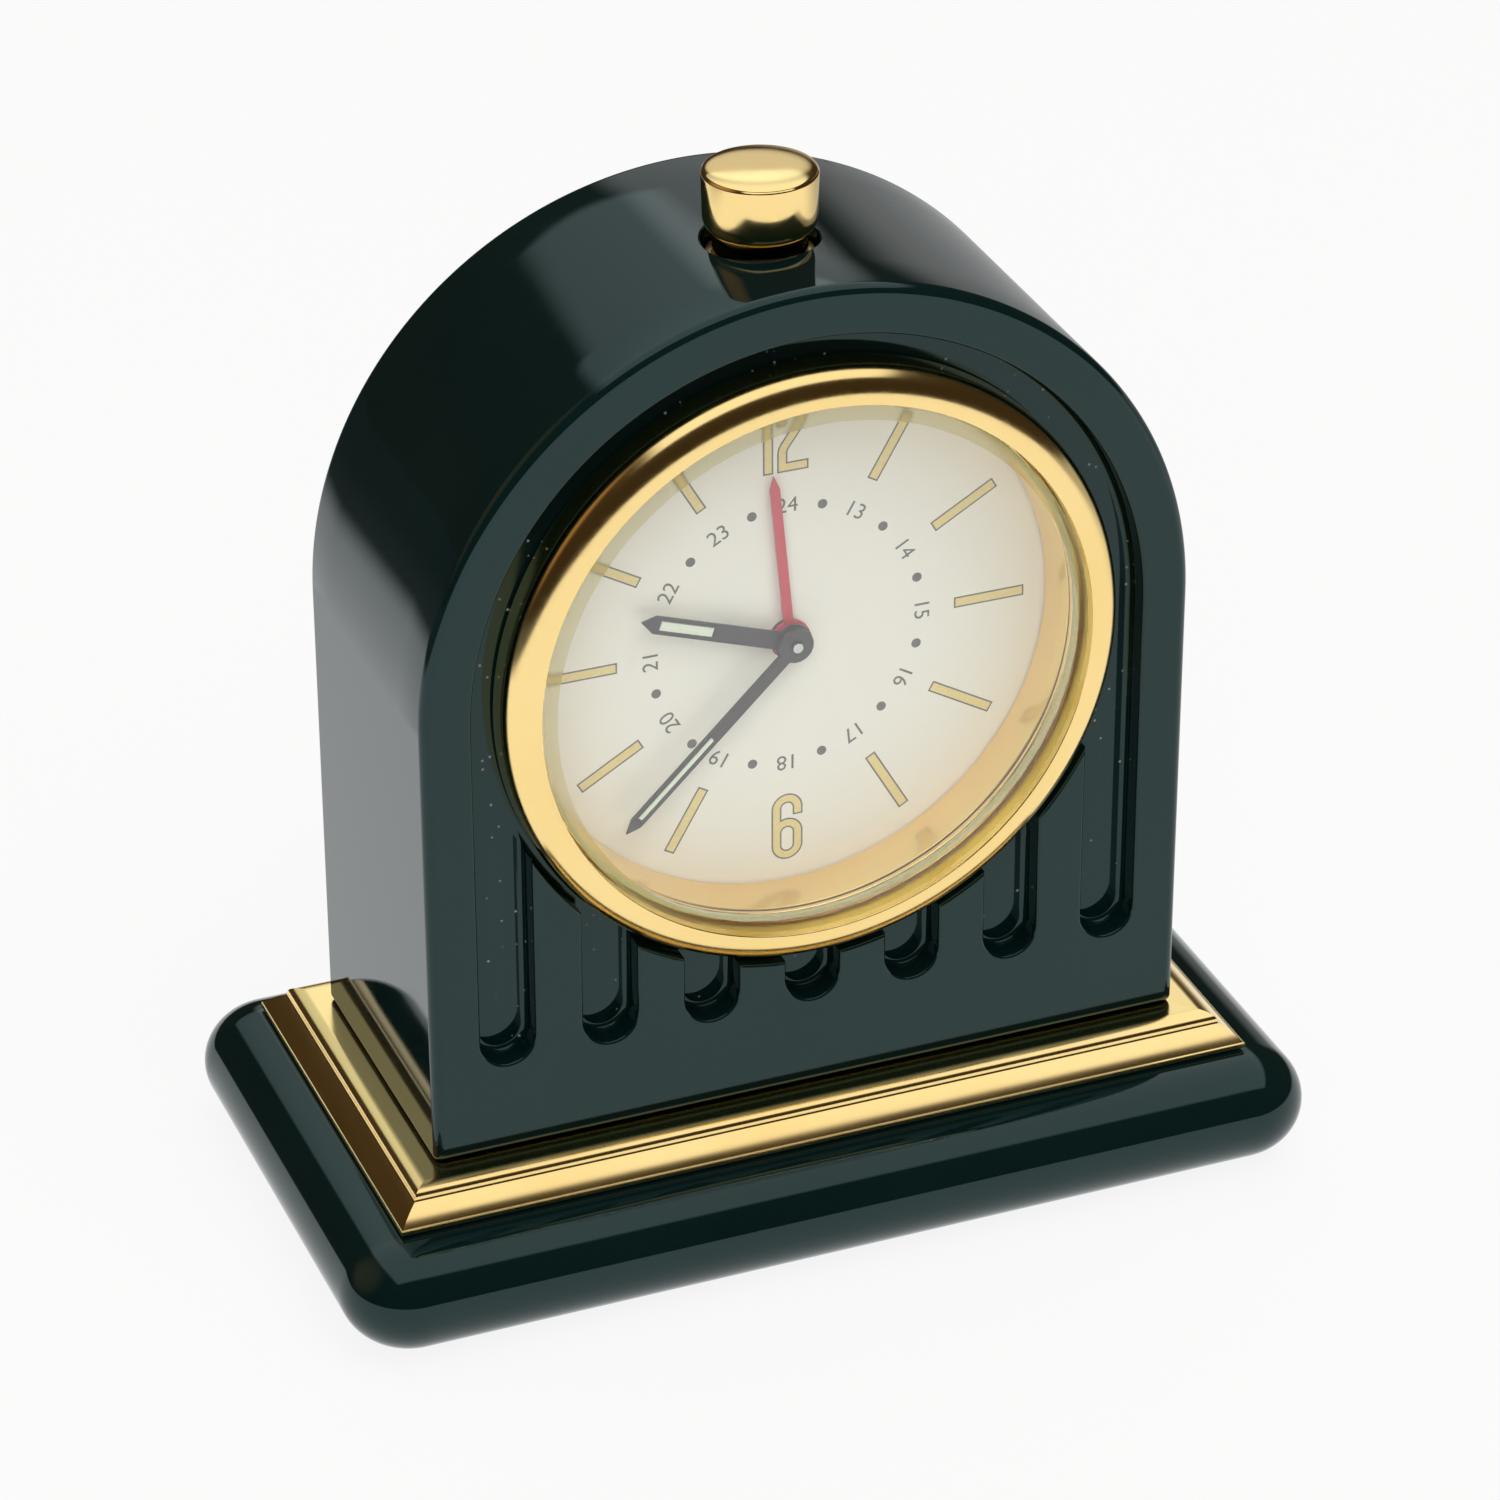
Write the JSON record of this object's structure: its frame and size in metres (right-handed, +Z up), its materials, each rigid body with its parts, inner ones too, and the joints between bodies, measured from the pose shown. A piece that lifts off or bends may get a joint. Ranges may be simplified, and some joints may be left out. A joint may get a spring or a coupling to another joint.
{
  "type": "desk alarm clock",
  "caption": "Round-arched desk alarm clock with a fluted lacquered case, gilt bezel and moulded plinth, push button on top and a geared quartz movement.",
  "frame": {"origin": "middle of the underside, where the felt rests on the table", "axes": "+Z up, the dial faces -Y, +X to the right as seen from the front"},
  "size_m": [0.0946, 0.0528, 0.1006],
  "materials": {
    "lacquer": "deep green high-gloss lacquer",
    "gilt": "polished gilt",
    "brass": "plain turned",
    "steel": "bright",
    "magnet": "dark sintered",
    "copper": "enamelled copper wire",
    "felt": "felt",
    "glass": "clear, bevelled edge",
    "gasket": "translucent",
    "dial": "ivory, satin",
    "black_metal": "black, satin",
    "red": "red, satin",
    "lume": "pale luminous paint",
    "cream_plastic": "moulded",
    "black_plastic": "moulded, satin",
    "board": "circuit board",
    "battery": "plain sleeve"
  },
  "bodies": {
    "case": {"felt_pad": "felt", "base_plinth": "lacquer", "plinth_moulding": "gilt", "case_shell": "lacquer", "base_screw_left": "steel", "base_screw_right": "steel", "bezel": "gilt", "bezel_ring_nut": "brass", "crystal": "glass", "crystal_gasket": "gasket", "dial_ring": "gilt", "dial": "dial", "movement_frame": "cream_plastic", "movement_rear_plate": "cream_plastic", "plate_screw_1": "steel", "plate_screw_2": "steel", "plate_screw_3": "steel", "frame_screw_1": "steel", "frame_screw_2": "steel", "frame_screw_3": "steel", "frame_screw_4": "steel", "stator": "steel", "coil_core": "steel", "coil_bobbin": "black_plastic", "coil_winding": "copper", "circuit_board": "board", "timer_chip": "black_plastic", "quartz_can": "steel", "alarm_sounder": "black_plastic", "alarm_switch_blade": "steel", "battery": "battery", "battery_contact_sprung": "steel", "battery_contact_flat": "steel", "back_cover": "black_plastic", "cover_screw_1": "steel", "cover_screw_2": "steel", "cover_screw_3": "steel", "cover_screw_4": "steel", "button_bush": "brass", "button_spring": "steel"},
    "minute_group": {"centre_arbor": "brass", "minute_hand": "black_metal", "minute_hand_lume": "lume"},
    "hour_group": {"hour_wheel": "brass", "hour_hand": "black_metal", "hour_hand_lume": "lume"},
    "time_setting": {"minute_wheel": "brass", "time_set_knob": "black_plastic"},
    "alarm_group": {"alarm_wheel": "brass", "alarm_hand": "red"},
    "alarm_setting": {"alarm_spindle": "brass", "alarm_set_knob": "black_plastic"},
    "rotor": {"rotor": "magnet"},
    "intermediate_wheel": {"intermediate_wheel": "brass"},
    "third_wheel": {"third_wheel": "brass"},
    "centre_wheel": {"centre_wheel": "brass"},
    "button": {"alarm_button": "gilt", "button_clip": "steel"},
    "battery_door": {"battery_door": "black_plastic"}
  },
  "joints": [
    {"name": "minute_turn", "type": "hinge", "parent": "case", "child": "minute_group", "pos_m": [0, -0.0155, 0.0577], "axis": [0, 1, 0], "continuous": true},
    {"name": "hour_turn", "type": "hinge", "parent": "case", "child": "hour_group", "pos_m": [0, -0.0155, 0.0577], "axis": [0, 1, 0], "continuous": true},
    {"name": "time_setting_turn", "type": "hinge", "parent": "case", "child": "time_setting", "pos_m": [-0.008, -0.0155, 0.0577], "axis": [0, 1, 0], "continuous": true},
    {"name": "alarm_turn", "type": "hinge", "parent": "case", "child": "alarm_group", "pos_m": [0, -0.0155, 0.0577], "axis": [0, 1, 0], "continuous": true},
    {"name": "alarm_setting_turn", "type": "hinge", "parent": "case", "child": "alarm_setting", "pos_m": [0.009, -0.0155, 0.0577], "axis": [0, 1, 0], "continuous": true},
    {"name": "rotor_turn", "type": "hinge", "parent": "case", "child": "rotor", "pos_m": [0.01383, -0.0155, 0.06893], "axis": [0, 1, 0], "continuous": true},
    {"name": "intermediate_turn", "type": "hinge", "parent": "case", "child": "intermediate_wheel", "pos_m": [0.00649, -0.0155, 0.06697], "axis": [0, 1, 0], "continuous": true},
    {"name": "third_turn", "type": "hinge", "parent": "case", "child": "third_wheel", "pos_m": [-0.00139, -0.0155, 0.06558], "axis": [0, 1, 0], "continuous": true},
    {"name": "centre_wheel_turn", "type": "hinge", "parent": "case", "child": "centre_wheel", "pos_m": [0, -0.0155, 0.0577], "axis": [0, 1, 0], "continuous": true},
    {"name": "button_press", "type": "slide", "parent": "case", "child": "button", "axis": [0, 0, -1], "range_m": [0, 0.002], "stiffness_N_per_m": 400, "springref_m": -0.002, "deforming": ["button_spring"]},
    {"name": "battery_door_swing", "type": "hinge", "parent": "case", "child": "battery_door", "pos_m": [0, 0.01465, 0.02185], "axis": [-1, 0, 0], "range_deg": [0, 95]}
  ],
  "couplings": [
    {"joint": "hour_turn", "follows": "minute_turn", "ratio": 0.083333},
    {"joint": "time_setting_turn", "follows": "minute_turn", "ratio": -0.33333},
    {"joint": "alarm_setting_turn", "follows": "alarm_turn", "ratio": -2},
    {"joint": "intermediate_turn", "follows": "rotor_turn", "ratio": -0.26667},
    {"joint": "third_turn", "follows": "rotor_turn", "ratio": 0.066667},
    {"joint": "centre_wheel_turn", "follows": "rotor_turn", "ratio": -0.016667}
  ]
}
